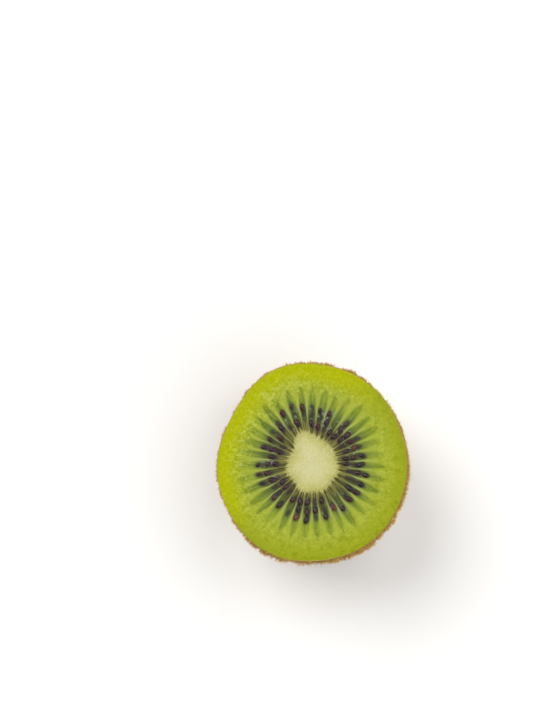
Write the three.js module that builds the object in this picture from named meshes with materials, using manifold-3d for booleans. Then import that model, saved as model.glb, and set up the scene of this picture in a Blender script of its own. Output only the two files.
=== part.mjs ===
// Half a kiwi fruit, cut across and resting on its round end with the cut face up.
// Millimetres, +Z up, the cut face level, and the origin under the middle of the half.
// Three nested solids meet at the cut: outer flesh with the skin outside, seed ring, core.
import * as THREE from "three";
import { mergeVertices } from "three/addons/utils/BufferGeometryUtils.js";
import Module from "manifold-3d";

const wasm = await Module();
wasm.setup();

// Driving dimensions of the whole half
const FACE_RADIUS = 26;
const CUT_HEIGHT = 34;
const NATURAL_DEPTH = 34.7;
const END_BLUNTNESS = 2.3;
const TISSUE_GAP = 0.2;

// Waves of the rim: how many round it, share of the radius, and where a crest lies in degrees
const RIM_WAVES = [
  [2, 0.025, 88],
  [3, 0.0136, -22],
  [4, 0.0039, 23],
  [5, 0.0066, -35],
  [6, 0.0059, -2],
];

// Low lumps of the skin: two crossing waves, by their crests round the half and their lean
const LUMP_HEIGHT = 0.11;
const LUMP_LENGTH = 19;
const LUMP_WAVES = [
  { crests: 5, lean: 1 },
  { crests: 3, lean: -1.7 },
];

// Scar of the round end, sunk into the flat spot that the half rests on
const SCAR_RADIUS = 1.7;
const DIMPLE_RADIUS = 3.2;
const DIMPLE_DEPTH = 0.7;
const SCAR_RISE = 0.35;

// Core
const CORE_RADIUS = 7.45;
const CORE_DEPTH = 31;
const CORE_BLUNTNESS = 1.9;
const CORE_WAVES = [
  [1, 0.045, -66],
  [2, 0.097, -82],
  [3, 0.058, -16],
  [4, 0.043, 14],
  [5, 0.039, -30],
  [6, 0.013, -4],
  [7, 0.013, -10],
  [8, 0.028, 24],
];

// Seed ring: its outside runs out in one finger for each seed chamber
const CHAMBERS = 35;
const FINGER_TIP = 18.4;
const FINGER_TIP_SPREAD = 0.8;
const FINGER_ROOT = 13.7;
const FINGER_FULLNESS = 0.88;
const TIP_FOLLOWS_CORE = 0.4;
const CHAMBER_JITTER = 0.3;
const FIRST_CHAMBER = 2;
const RING_DEPTH = 27.5;
const RING_BLUNTNESS = 2.2;

// Seeds: rows counted outwards from the core's edge
const SEED_LENGTH = 2.3;
const SEED_WIDTH = 1.25;
const SEED_THICKNESS = 0.9;
const SEED_TAPER = 0.38;
const SEED_SINK = 0.05;
const SEED_ROWS = [
  { beyondCore: 2.4, spread: 0.5, share: 0.34 },
  { beyondCore: 4.4, spread: 0.6, share: 0.54 },
  { beyondCore: 6.4, spread: 0.6, share: 0.62 },
];
const FALLBACK_ROW = 1;
const SEED_DRIFT = 0.22;
const SEED_TURN = 24;
const SEED_TIP_MARGIN = 1.9;
const SEED_SPACING = 2.2;

// What each repeatable draw is for
const DRAW = { wall: 1, tip: 2, fill: 60, wander: 70, drift: 80, turn: 90 };

// Fineness of the faceted solids
const DOME_SIDES = 105;
const DOME_ROWS = 14;
const CORE_SIDES = 48;
const CORE_ROWS = 6;
const SIDES_PER_CHAMBER = 6;
const RING_ROWS = 5;
const SEED_SIDES = 6;
const SEED_STACKS = 4;
const SAME_POINT = 1e-4;

const TURN = 2 * Math.PI;
const toRadians = THREE.MathUtils.degToRad;

// A repeatable draw between 0 and 1 for one item and one purpose
function draw(item, purpose) {
  const wild = Math.sin(item * 12.9898 + purpose * 78.233) * 43758.5453;
  return wild - Math.floor(wild);
}

// Sum of waves at an angle, as a share of the radius
function waves(list, angle) {
  return list.reduce((sum, [count, height, crest]) => {
    return sum + height * Math.cos(count * (angle - toRadians(crest)));
  }, 0);
}

function coreEdge(angle) {
  return CORE_RADIUS * (1 + waves(CORE_WAVES, angle));
}

// Angle of the wall before a chamber: even steps, each moved a little by its own draw
function wallAngle(chamber) {
  const turns = Math.floor(chamber / CHAMBERS);
  const wall = chamber - turns * CHAMBERS;
  const moved = wall + CHAMBER_JITTER * (draw(wall, DRAW.wall) - 0.5);
  return toRadians(FIRST_CHAMBER) + (TURN * (moved + turns * CHAMBERS)) / CHAMBERS;
}

// Angle at a place counted in chambers, such as 4.5 for the middle of the fifth
function chamberAngle(place) {
  const chamber = Math.floor(place);
  const start = wallAngle(chamber);
  return start + (place - chamber) * (wallAngle(chamber + 1) - start);
}

function fingerTip(chamber) {
  const follow = TIP_FOLLOWS_CORE * (coreEdge(chamberAngle(chamber + 0.5)) - CORE_RADIUS);
  return FINGER_TIP + follow + FINGER_TIP_SPREAD * (2 * draw(chamber, DRAW.tip) - 1);
}

// Radius of the seed ring at a place counted in chambers, with room left all round it
function ringEdge(place, room) {
  const chamber = Math.floor(place) % CHAMBERS;
  const across = place - Math.floor(place);
  const pitch = (TURN * FINGER_ROOT) / CHAMBERS;
  const fromWall = Math.min(0.5, Math.min(across, 1 - across) + room / pitch);
  const reach = Math.sin(Math.PI * fromWall) ** FINGER_FULLNESS;
  return FINGER_ROOT + (fingerTip(chamber) - FINGER_ROOT) * reach + room;
}

// Profile of a blunt end that is cut level at its widest place, from the axis round to the axis
function endProfile(depth, bluntness, rows, floorDepth = depth) {
  const power = 2 / bluntness;
  const steepest = Math.acos(Math.min(1, floorDepth / depth) ** (1 / power));
  const points = [new THREE.Vector2(0, CUT_HEIGHT - floorDepth)];
  for (let row = 0; row <= rows; row += 1) {
    const slope = steepest + ((Math.PI / 2 - steepest) * row) / rows;
    const share = Math.sin(slope) ** power;
    if (share > SAME_POINT) {
      const sunk = row === rows ? 0 : depth * Math.cos(slope) ** power;
      points.push(new THREE.Vector2(share, CUT_HEIGHT - sunk));
    }
  }
  points.push(new THREE.Vector2(0, CUT_HEIGHT));
  return points;
}

// Turned form with every point put where place says, given its share, angle and height
function turned(profile, sides, place) {
  const geometry = new THREE.LatheGeometry(profile, sides);
  geometry.rotateX(Math.PI / 2);
  geometry.rotateZ(Math.PI / 2);
  const position = geometry.attributes.position;
  for (let i = 0; i < position.count; i += 1) {
    const [x, y, z] = [position.getX(i), position.getY(i), position.getZ(i)];
    const share = Math.hypot(x, y);
    const angle = share > 0 ? (Math.atan2(y, x) + TURN) % TURN : 0;
    const [radius, way, height] = place(share, angle, z);
    position.setXYZ(i, radius * Math.cos(way), radius * Math.sin(way), height);
  }
  return geometry;
}

// Closed solid from a geometry whose triangles may share points only by place
function toSolid(geometry) {
  const bare = geometry.clone();
  bare.deleteAttribute("normal");
  bare.deleteAttribute("uv");
  const merged = mergeVertices(bare, SAME_POINT);
  const corners = Array.from(merged.index.array);
  const kept = [];
  for (let i = 0; i < corners.length; i += 3) {
    const [a, b, c] = corners.slice(i, i + 3);
    if (a !== b && b !== c && a !== c) kept.push(a, b, c);
  }
  return new wasm.Manifold(
    new wasm.Mesh({
      numProp: 3,
      vertProperties: new Float32Array(merged.attributes.position.array),
      triVerts: new Uint32Array(kept),
    }),
  );
}

function toGeometry(solid) {
  const mesh = solid.getMesh();
  const geometry = new THREE.BufferGeometry();
  geometry.setAttribute("position", new THREE.BufferAttribute(mesh.vertProperties, 3));
  geometry.setIndex(new THREE.BufferAttribute(mesh.triVerts, 1));
  geometry.computeVertexNormals();
  return geometry;
}

// Low lumps that die out at the cut and at the flat spot
function lump(angle, height) {
  const fade = Math.sin((Math.PI * height) / CUT_HEIGHT);
  const along = (TURN * height) / LUMP_LENGTH;
  return LUMP_WAVES.reduce((sum, { crests, lean }) => {
    return sum + LUMP_HEIGHT * fade * Math.sin(crests * angle + lean * along);
  }, 0);
}

function domeSolid() {
  const profile = endProfile(NATURAL_DEPTH, END_BLUNTNESS, DOME_ROWS, CUT_HEIGHT);
  const dimple = [
    new THREE.Vector2(0, SCAR_RISE),
    new THREE.Vector2(SCAR_RADIUS / FACE_RADIUS, SCAR_RISE),
    new THREE.Vector2(SCAR_RADIUS / FACE_RADIUS, DIMPLE_DEPTH),
    new THREE.Vector2(DIMPLE_RADIUS / FACE_RADIUS, 0),
  ];
  const geometry = turned([...dimple, ...profile.slice(1)], DOME_SIDES, (share, angle, height) => {
    const radius = FACE_RADIUS * share * (1 + share * waves(RIM_WAVES, angle));
    const onSkin = share * FACE_RADIUS > DIMPLE_RADIUS + SAME_POINT;
    return [onSkin ? radius + lump(angle, height) : radius, angle, height];
  });
  return toSolid(geometry);
}

// Spindle that thins towards the end, with its corners rounding off on the way
function coreSolid(room) {
  const profile = endProfile(CORE_DEPTH + room, CORE_BLUNTNESS, CORE_ROWS);
  const geometry = turned(profile, CORE_SIDES, (share, angle, height) => {
    const edge = CORE_RADIUS * (1 + share * waves(CORE_WAVES, angle)) + room;
    return [share * edge, angle, height];
  });
  return toSolid(geometry);
}

function ringOutside(room) {
  const profile = endProfile(RING_DEPTH + room, RING_BLUNTNESS, RING_ROWS);
  const sides = CHAMBERS * SIDES_PER_CHAMBER;
  const geometry = turned(profile, sides, (share, angle, height) => {
    const place = Math.round((angle / TURN) * sides) / SIDES_PER_CHAMBER;
    return [share * ringEdge(place, room), chamberAngle(place), height];
  });
  return toSolid(geometry);
}

// Tear-shaped seed at the origin, its point towards -X
function seedSolid() {
  const geometry = new THREE.SphereGeometry(1, SEED_SIDES, SEED_STACKS);
  geometry.rotateZ(-Math.PI / 2);
  const position = geometry.attributes.position;
  for (let i = 0; i < position.count; i += 1) {
    const [x, y, z] = [position.getX(i), position.getY(i), position.getZ(i)];
    const girth = 1 + SEED_TAPER * x;
    position.setXYZ(
      i,
      (SEED_LENGTH / 2) * x,
      (SEED_WIDTH / 2) * girth * y,
      (SEED_THICKNESS / 2) * girth * z,
    );
  }
  return toSolid(geometry);
}

// Radius, angle and turn of every seed: each chamber draws which rows it fills
function seedPlaces() {
  const places = [];
  for (let chamber = 0; chamber < CHAMBERS; chamber += 1) {
    const filled = SEED_ROWS.map((row, k) => draw(chamber, DRAW.fill + k) < row.share);
    if (!filled.includes(true)) filled[FALLBACK_ROW] = true;
    const angle = chamberAngle(chamber + 0.5);
    const furthest = fingerTip(chamber) - SEED_TIP_MARGIN;
    let nearest = 0;
    SEED_ROWS.forEach((row, k) => {
      const wander = row.spread * (2 * draw(chamber, DRAW.wander + k) - 1);
      const radius = Math.max(nearest, coreEdge(angle) + row.beyondCore + wander);
      if (filled[k] && radius < furthest) {
        const drift = (SEED_DRIFT * (2 * draw(chamber, DRAW.drift + k) - 1)) / radius;
        const turn = toRadians(SEED_TURN) * (2 * draw(chamber, DRAW.turn + k) - 1);
        places.push({ radius, angle: angle + drift, turn });
        nearest = radius + SEED_SPACING;
      }
    });
  }
  return places;
}

function placedSeed(seed, { radius, angle, turn }) {
  const degrees = THREE.MathUtils.radToDeg(angle + turn);
  const centre = [radius * Math.cos(angle), radius * Math.sin(angle), CUT_HEIGHT - SEED_SINK];
  return seed.rotate([0, 0, degrees]).translate(centre);
}

function namedMesh(name, solid, color, roughness) {
  const material = new THREE.MeshStandardMaterial({ color, roughness, metalness: 0 });
  const mesh = new THREE.Mesh(toGeometry(solid), material);
  mesh.name = name;
  return mesh;
}

function outerFlesh() {
  const solid = domeSolid().subtract(ringOutside(TISSUE_GAP)).subtract(coreSolid(TISSUE_GAP));
  return namedMesh("outer_flesh", solid, 0xa6ae2a, 0.4);
}

function seedRing() {
  const seed = seedSolid();
  let solid = ringOutside(0).subtract(coreSolid(TISSUE_GAP));
  for (const place of seedPlaces()) {
    solid = solid.add(placedSeed(seed, place));
  }
  return namedMesh("seed_ring", solid, 0x5f7030, 0.35);
}

function core() {
  return namedMesh("core", coreSolid(0), 0xd6d296, 0.5);
}

// The half stands with the middle of its box over the origin
function centred(meshes) {
  const fruit = new THREE.Group();
  fruit.add(...meshes);
  const middle = new THREE.Box3().setFromObject(fruit).getCenter(new THREE.Vector3());
  fruit.position.set(-middle.x, -middle.y, 0);
  const group = new THREE.Group();
  group.add(fruit);
  return group;
}

export default centred([outerFlesh(), seedRing(), core()]);
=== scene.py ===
import math

import bpy
import numpy as np
from bpy.props import FloatProperty, FloatVectorProperty, IntProperty, PointerProperty
from mathutils import Matrix, Vector


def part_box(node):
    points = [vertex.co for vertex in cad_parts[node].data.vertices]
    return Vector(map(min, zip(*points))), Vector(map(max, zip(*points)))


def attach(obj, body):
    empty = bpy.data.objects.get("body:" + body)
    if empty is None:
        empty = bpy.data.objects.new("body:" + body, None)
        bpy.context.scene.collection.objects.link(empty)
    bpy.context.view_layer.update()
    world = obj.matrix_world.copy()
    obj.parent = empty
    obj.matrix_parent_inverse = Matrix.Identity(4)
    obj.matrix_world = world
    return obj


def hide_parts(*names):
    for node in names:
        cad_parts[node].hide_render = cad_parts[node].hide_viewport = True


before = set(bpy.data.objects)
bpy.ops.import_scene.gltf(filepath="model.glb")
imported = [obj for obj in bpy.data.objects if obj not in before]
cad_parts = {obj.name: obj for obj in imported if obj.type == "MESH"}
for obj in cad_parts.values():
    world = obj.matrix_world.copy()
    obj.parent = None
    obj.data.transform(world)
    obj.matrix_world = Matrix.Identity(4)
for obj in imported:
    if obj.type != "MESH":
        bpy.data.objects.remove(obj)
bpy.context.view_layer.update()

bl_info = {
    "name": "Kiwi Half",
    "version": (1, 0, 0),
    "blender": (4, 5, 0),
    "location": "View3D > Sidebar > Kiwi Half",
    "description": "Builds a cut kiwi half with its flesh, seeds, skin and fuzz",
    "category": "Add Mesh",
}

BODY = "root"
MM = 0.001
TURN = 2 * math.pi

# Form of the half, as in its solids. A wave is its crests, its height as a share of the radius, and its angle
CUT_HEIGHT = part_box("core")[1].z
FACE_RADIUS = 26 * MM
NATURAL_DEPTH = 34.7 * MM
END_BLUNTNESS = 2.3
RIM_WAVES = ((2, 0.025, 88), (3, 0.0136, -22), (4, 0.0039, 23), (5, 0.0066, -35), (6, 0.0059, -2))
LUMP_HEIGHT = 0.11 * MM
LUMP_LENGTH = 19 * MM
LUMP_WAVES = ((5, 1), (3, -1.7))

CORE_RADIUS = 7.45 * MM
CORE_DEPTH = 31 * MM
CORE_BLUNTNESS = 1.9
CORE_WAVES = (
    (1, 0.045, -66), (2, 0.097, -82), (3, 0.058, -16), (4, 0.043, 14),
    (5, 0.039, -30), (6, 0.013, -4), (7, 0.013, -10), (8, 0.028, 24),
)

CHAMBERS = 35
FINGER_TIP = 18.4 * MM
FINGER_TIP_SPREAD = 0.8 * MM
FINGER_ROOT = 13.7 * MM
FINGER_FULLNESS = 0.88
TIP_FOLLOWS_CORE = 0.4
CHAMBER_JITTER = 0.3
FIRST_CHAMBER = 2
RING_DEPTH = 27.5 * MM
RING_BLUNTNESS = 2.2
RING_FLOOR_GAP = 1.5 * MM
CAVITY_GAP = 1 * MM

# Skin and the scar in the dimple of the end. Pores and bulges are millimetres high. A row of the dimple is
# shares of its radius and depth, and a row of the scar is a share of its radius and a height
SKIN_THICKNESS = 0.16 * MM
SKIN_EDGE_DROP = 0.12 * MM
SKIN_EDGE_SHARES = (0.9, 0.2)
PORE_HEIGHT, PORE_LENGTH, PORES_ROUND, PORE_START = 0.05, 1.3 * MM, 22, 40
BULGE_HEIGHT, BULGE_LENGTH, BULGES_ROUND, BULGE_START = 0.1, 6 * MM, 3.5, 9
DIMPLE_RADIUS = 3.2 * MM
DIMPLE_DEPTH = 0.7 * MM
DIMPLE_ROWS = ((0.55, 0.98), (0.7, 0.85), (0.85, 0.45), (0.95, 0.1))
SCAR_RADIUS = 1.7 * MM
SCAR_RISE = 0.35 * MM
SCAR_ROWS = (
    (0.9, DIMPLE_DEPTH + 0.1 * MM), (0.98, SCAR_RISE + 0.2 * MM), (0.9, SCAR_RISE + 0.06 * MM),
    (0.65, SCAR_RISE), (0.5, SCAR_RISE + 0.16 * MM), (0.3, SCAR_RISE + 0.1 * MM), (0.12, SCAR_RISE),
)

# Seeds. Sizes and girths are the least share and the range above it. A row of seeds is its distance beyond
# the core, its spread, and the share of chambers that have it
SEED_LENGTH = 2.3 * MM
SEED_WIDTH = 1.25 * MM
SEED_THICKNESS = 0.9 * MM
SEED_TAPER = 0.38
SEED_PINCH = 0.12
SEED_SIZES = (0.92, 0.2)
SEED_GIRTHS = (0.86, 0.24)
SEED_PITCH = 9
SEED_SINK = 0.05 * MM
SEED_DEEPEST = 0.22 * MM
SEED_ROWS = ((2.4 * MM, 0.5 * MM, 0.34), (4.4 * MM, 0.6 * MM, 0.54), (6.4 * MM, 0.6 * MM, 0.62))
FALLBACK_ROW = 1
SEED_DRIFT = 0.22 * MM
SEED_TURN = 24
SEED_TIP_MARGIN = 1.9 * MM
SEED_SPACING = 2.2 * MM
SUNK_SHARE = 0.55
SUNK_START = 0.2
SEED_REACH = 2 * MM
WARM_MIDDLE = 0.18
BROWN_FROM = 0.93

# Walls between the chambers, and the dark fingers between those walls
WALL_SWAY = 0.16 * MM
SWAY_LENGTH = 2.6 * MM
WALL_STEP = 1.7
BLURRED_TIP = 2.1 * MM
FINGER_HALF_WIDTH = 1.06 * MM
FINGER_BLUNTNESS = 2.8

# Relief of the cut face in millimetres: heights, and lengths of the waves
KNIFE_HEIGHT, KNIFE_LENGTHS = 0.1, (13, 11)
CELL_HEIGHT, CELL_LENGTHS, FINE_CELL_LENGTHS, FINE_CELLS = 0.05, (0.95, 0.8), (0.5, 0.55), 0.6
SWIRL, SWIRL_LENGTH = 0.6, 3.1
STRAND_HEIGHT, STRAND_LENGTH, STRANDS_EACH = 0.03, 3.5, 3.1
FURROW_DEPTH, PITH_HEIGHT, MOUND_HEIGHT = 0.09, 0.06, 0.05
GRAIN_HEIGHT, GRAIN_LENGTH = 0.018, 0.42
RIM_DROP, RIM_EASE = 0.06, 0.8
LIT_SIDE, LIT_MIDDLE, LIT_SWING = 140, 0.55, 0.45

# Every repeatable draw has its own number, to which seeds add their row, and every soft noise its own seed
DRAW_WALL, DRAW_TIP, DRAW_SIZE, DRAW_GIRTH, DRAW_PITCH, DRAW_FILL, DRAW_WANDER = 1, 2, 7, 8, 9, 60, 70
DRAW_DRIFT, DRAW_TURN, DRAW_SUNK, DRAW_SUNK_PLACE, DRAW_TINT, DRAW_RISE = 80, 90, 100, 105, 110, 120
DRAW_WALL_TINT, DRAW_CHAMBER_TINT = 130, 131
KNIFE_SEED, CELL_SEED, FINE_CELL_SEED, GRAIN_SEED, STRAND_SEED, SWIRL_SEED = 2, 5, 6, 7, 9, 11
PORE_SEED, BULGE_SEED, SWAY_SEED, CLUMP_SEED, TUFT_SEED = 21, 22, 31, 41, 43

# Fineness of the meshes: steps across a chamber, rows and sides of each part, and how its rows crowd
CHAMBER_STEPS = 24
CORE_ROWS = 26
CORE_CROWDING = 1.15
RING_ROWS = 46
OUTER_ROWS = 44
OUTER_CROWDING = 0.95
OUTSIDE_ROWS = 24
WALL_ROWS = 10
SKIN_ROWS = 90
SKIN_SIDES = 420
SEED_SIDES = 12
SEED_STACKS = 8
SCAR_SIDES = 48
SHARP_ANGLE = 55

# Bake map of a flesh piece: the middle and half width of its top, and the strip of its hidden walls
BAKE_MIDDLE, BAKE_HALF = 0.455, 0.45
STRIP_START, STRIP_HEIGHT = 0.94, 0.05
TOP_BAND = 2 * MM

# The photo's frame and where the cut face stands in it, in pixels
IMAGE_SIZE = (533, 711)
FACE_CENTRE_PIXEL = (311.6, 462.5)
FACE_RADIUS_PIXELS = 97.1
SENSOR_WIDTH = 36.0
FLOOR_HALF = 2.0

# Where effects of the cut face come in and go, as shares of its radius
BLUR_START = (0.46, 0.72)
FINGER_END = (0.74, 0.86)
FAINT_START = (0.5, 0.66)
WALL_START, WALL_END = (0.34, 0.52), (0.56, 0.74)
RAY_START, RAY_END = (0.5, 0.62), (0.72, 0.9)
SEEDY_START, SEEDY_END = (0.34, 0.42), (0.5, 0.66)
OUTER_START = (0.58, 0.78)
# The web is pale ridges, partly painted highlights.
HIGHLIGHT_WEB_START, HIGHLIGHT_WEB_END = (0.58, 0.74), (0.84, 0.95)
BUMPY_START, BUMPY_END = (0.56, 0.72), (0.84, 0.95)
# The bright side is painted light on the flesh toward the key light.
PAINTED_LIT_SIDE_START = (0.7, 0.92)
RIM_START = (0.74, 0.92)
# The pale specks are partly painted highlights.
HIGHLIGHT_SPECK_END = (0.82, 1.0)
UNDER_SKIN = (0.988, 1.0)

# How strongly effects of the cut face show. A pair is the part that varies and the part that doesn't
BROAD_SWAY = 0.07
BLUR = (0.36, 0.14)
STREAKED, FAINTED, TOOTHED = -0.22, 0.38, 0.85
WALL_TINTS, WALL_STREAKS = (0.6, 0.2), (0.4, 0.7)
# The bright side's amount is painted light toward the key light, standing in for light through the flesh.
# The juice's amount is a painted reflection among the seeds.
RAYS, STAIN, SUNK, PAINTED_JUICE_SHEEN, PAINTED_LIT_SIDE = 0.7, 0.6, 0.75, 0.6, 0.98
# Web, specks and pale cells are partly pale tissue and partly painted highlights, stronger toward the key
# light.
MOTTLE, PALE_WEB_AND_HIGHLIGHTS, PALE_SPECKS_AND_HIGHLIGHTS, PALE_CELLS_AND_HIGHLIGHTS, CELLS_DARK = (0.15, 0.5), (0.36, 0.12), (0.24, 0.28), (0.24, 0.24), 0.15
CELLS_IN_FINGERS = -0.6
SPIKES, RAGGED, CORE_GRAINS = 0.45, -2.6, 0.38
CORE_DEPTH_SCALE = -0.125

# Wet flesh: what its relief, film of juice and roughness take from its patterns
STRAND_RELIEF, CELL_RELIEF, RELIEF_BY_GLINT = 0.5, 0.3, (0.4, 0.22)
FLESH_BUMP, FLESH_BUMP_STRENGTH = 0.15 * MM, 0.8
FILM_RANGE, FILM = (0.35, 0.7), 0.06
FLESH_ROUGHNESS_SPREAD, FLESH_COAT_ROUGHNESS, FLESH_SPECULAR = 0.16, 0.14, 0.04
CORE_DRIER, RING_DRIER = 0.12, -0.04

# Kinds of hairs: name, growth field, lean, curl in millimetres, its fineness, points, seed and girth
HAIR_KINDS = (
    ("fuzz_long", "growth", 1.7, 3.2, 700.0, 6, 11, 1.0),
    ("fuzz_gold", "growth", 1.9, 2.4, 800.0, 4, 23, 1.0),
    ("fuzz_rust", "growth", 1.8, 2.2, 800.0, 4, 37, 1.0),
    ("fuzz_short", "growth", 0.8, 0.6, 900.0, 3, 51, 1.0),
    ("fuzz_rim", "rim_growth", 0.3, 1.2, 900.0, 4, 71, 1.3),
)
RUST_LENGTH, RIM_LENGTH = 0.85, 1.4
HAIR_LENGTHS = (0.55, 1.25)
HAIR_TAPER = -0.68
HAIR_SIDES = 3
COMB_SCALE = 520.0
CURL_START = 1.2
HIGHEST_HAIR = 0.1 * MM
FUZZ_INPUTS = (
    ("Geometry", "Geometry", None), ("Growth", "String", "growth"), ("Vigour", "String", "vigour"),
    ("Density", "Float", 1e6), ("Seed", "Int", 1), ("Length", "Float", 0.002), ("Lean", "Float", 1.0),
    ("Curl", "Float", 0.001), ("Curl Fineness", "Float", 700.0), ("Comb", "Float", 3.5), ("Points", "Int", 5),
    ("Thickness", "Float", 0.00005), ("Lowest", "Float", 0.00006), ("Highest", "Float", 1.0),
    ("Material", "Material", None),
)

# Growth of the hairs: sizes of clumps and tufts, and the two sides of the face where the fuzz is fullest
CLUMP_SIZE = 1.7 * MM
TUFT_SIZE = 0.6 * MM
FULL_SIDE, SECOND_SIDE = -60, 78

# Lights: name, side, height over the floor, width and colour. Sky: bands of height and greys
LIGHTS = (
    ("key", 136, 52, 44, (1.0, 0.985, 0.95)),
    ("fill", -35, 42, 80, (0.97, 0.985, 1.0)),
    ("back", 40, 50, 44, (1.0, 1.0, 1.0)),
)
LIGHT_DISTANCE = 0.6
HORIZON_BAND, OVERHEAD_BAND = (0.08, 0.26), (0.5, 0.86)
HORIZON_GREY, SKY_GREY, OVERHEAD_GREY = (1.0, 1.0, 1.0), (0.45, 0.45, 0.45), (0.08, 0.08, 0.08)


def srgb(text):
    """Linear colour from a hex sRGB colour."""
    parts = [int(text[i:i + 2], 16) / 255 for i in (0, 2, 4)]
    return tuple(p / 12.92 if p <= 0.04045 else ((p + 0.055) / 1.055) ** 2.4 for p in parts)


def colour_property(name, description, text):
    return FloatVectorProperty(
        name=name, description=description, subtype="COLOR", size=3, min=0, max=1, default=srgb(text)
    )


def length_property(name, description, default, high):
    return FloatProperty(
        name=name, description=description, subtype="DISTANCE", unit="LENGTH",
        min=0, max=high, precision=5, default=default,
    )


def number_property(name, description, default, high=1):
    return FloatProperty(name=name, description=description, min=0, max=high, default=default)


def count_property(name, description, default, high):
    return IntProperty(name=name, description=description, min=0, max=high, default=default)


def angle_property(name, description, default):
    return FloatProperty(name=name, description=description, subtype="ANGLE", default=math.radians(default))


# Form functions


def draw(item, purpose):
    """A repeatable draw between 0 and 1 for one item and one purpose."""
    wild = np.sin(np.asarray(item, float) * 12.9898 + purpose * 78.233) * 43758.5453
    return wild - np.floor(wild)


def waves(series, angle):
    return sum(height * np.cos(count * (angle - math.radians(crest))) for count, height, crest in series)


def core_edge(angle):
    return CORE_RADIUS * (1 + waves(CORE_WAVES, angle))


def rim_edge(angle):
    return FACE_RADIUS * (1 + waves(RIM_WAVES, angle))


def wall_angles():
    """Angle of every wall between chambers, and the first again after a full turn."""
    walls = np.arange(CHAMBERS)
    moved = walls + CHAMBER_JITTER * (draw(walls, DRAW_WALL) - 0.5)
    angles = math.radians(FIRST_CHAMBER) + TURN * moved / CHAMBERS
    return np.append(angles, angles[0] + TURN)


def chamber_angle(place):
    """Angle at a place counted in chambers, such as 4.5 for the middle of the fifth."""
    return np.interp(place, np.arange(CHAMBERS + 1), wall_angles())


def finger_tip(chamber):
    follow = TIP_FOLLOWS_CORE * (core_edge(chamber_angle(chamber + 0.5)) - CORE_RADIUS)
    return FINGER_TIP + follow + FINGER_TIP_SPREAD * (2 * draw(chamber, DRAW_TIP) - 1)


def finger_edge(place):
    chamber = np.floor(place) % CHAMBERS
    across = place - np.floor(place)
    reach = np.sin(np.pi * np.minimum(across, 1 - across)) ** FINGER_FULLNESS
    return FINGER_ROOT + (finger_tip(chamber) - FINGER_ROOT) * reach


def end_profile(depth, bluntness, rows, floor_depth=None):
    """Shares of the radius and heights of a blunt end's rows, from the flat spot or tip up to the cut."""
    power = 2 / bluntness
    steepest = math.acos(min(1, (floor_depth or depth) / depth) ** (1 / power))
    slope = np.linspace(steepest, np.pi / 2, rows)
    shares = np.sin(slope) ** power
    heights = CUT_HEIGHT - depth * np.clip(np.cos(slope), 0, 1) ** power
    heights[-1] = CUT_HEIGHT
    return shares, heights


def smooth_step(value, low, high):
    share = np.clip((value - low) / (high - low), 0, 1)
    return share * share * (3 - 2 * share)


def soft_noise(x, y, seed):
    """Smooth noise between -1 and 1 over a plane, one cell to a unit."""
    column, row = np.floor(x), np.floor(y)
    across, up = smooth_step(x - column, 0, 1), smooth_step(y - row, 0, 1)

    def corner(i, j):
        wild = np.sin((column + i) * 127.1 + (row + j) * 311.7 + seed * 74.7) * 43758.5453
        return wild - np.floor(wild)

    low = corner(0, 0) * (1 - across) + corner(1, 0) * across
    high = corner(0, 1) * (1 - across) + corner(1, 1) * across
    return 2 * (low * (1 - up) + high * up) - 1


def seed_turn(chamber, row):
    return math.radians(SEED_TURN) * (2 * draw(chamber, DRAW_TURN + row) - 1)


def seed_places():
    """Radius, angle, turn, tint and rise of every seed that lies at the cut."""
    places = []
    for chamber in range(CHAMBERS):
        filled = [draw(chamber, DRAW_FILL + k) < row[2] for k, row in enumerate(SEED_ROWS)]
        if not any(filled):
            filled[FALLBACK_ROW] = True
        angle = float(chamber_angle(chamber + 0.5))
        furthest = finger_tip(chamber) - SEED_TIP_MARGIN
        nearest = 0
        for k, (beyond_core, spread, _) in enumerate(SEED_ROWS):
            wander = spread * (2 * draw(chamber, DRAW_WANDER + k) - 1)
            radius = max(nearest, core_edge(angle) + beyond_core + wander)
            if filled[k] and radius < furthest:
                drift = SEED_DRIFT * (2 * draw(chamber, DRAW_DRIFT + k) - 1) / radius
                tint, rise = draw(chamber, DRAW_TINT + k), draw(chamber, DRAW_RISE + k)
                places.append((radius, angle + drift, seed_turn(chamber, k), tint, rise))
                nearest = radius + SEED_SPACING
    return places


def sunk_places():
    """Radius, angle and turn of seeds that show only as dark shades through the flesh."""
    places = []
    for chamber in range(CHAMBERS):
        for k, (beyond_core, spread, share) in enumerate(SEED_ROWS):
            empty = draw(chamber, DRAW_FILL + k) >= share
            if empty and draw(chamber, DRAW_SUNK + k) < SUNK_SHARE:
                angle = float(chamber_angle(chamber + 0.5))
                wander = spread * (draw(chamber, DRAW_SUNK_PLACE + k) - SUNK_START)
                places.append((core_edge(angle) + beyond_core + wander, angle, seed_turn(chamber, k)))
    return places


def face_centre_shift():
    """Place of the face's centre when the middle of the rim's box stands over the origin."""
    angle = np.linspace(0, TURN, 1440, endpoint=False)
    x, y = rim_edge(angle) * np.cos(angle), rim_edge(angle) * np.sin(angle)
    return np.array([-(x.max() + x.min()) / 2, -(y.max() + y.min()) / 2, 0])


SHIFT = face_centre_shift()


# Fields over the cut face, from a point's radius, angle and place in chambers


def outside_seeds(x, y, places):
    """Distance outside the nearest of these seeds, less than nothing inside it."""
    nearest = np.full_like(x, SEED_REACH)
    for radius, angle, turn in places:
        dx, dy = x - radius * math.cos(angle), y - radius * math.sin(angle)
        cos, sin = math.cos(angle + turn), math.sin(angle + turn)
        along, across = dx * cos + dy * sin, dy * cos - dx * sin
        away = np.hypot(along / (SEED_LENGTH / 2), across / (SEED_WIDTH / 2)) - 1
        nearest = np.minimum(nearest, away * SEED_WIDTH / 2)
    return nearest


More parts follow.
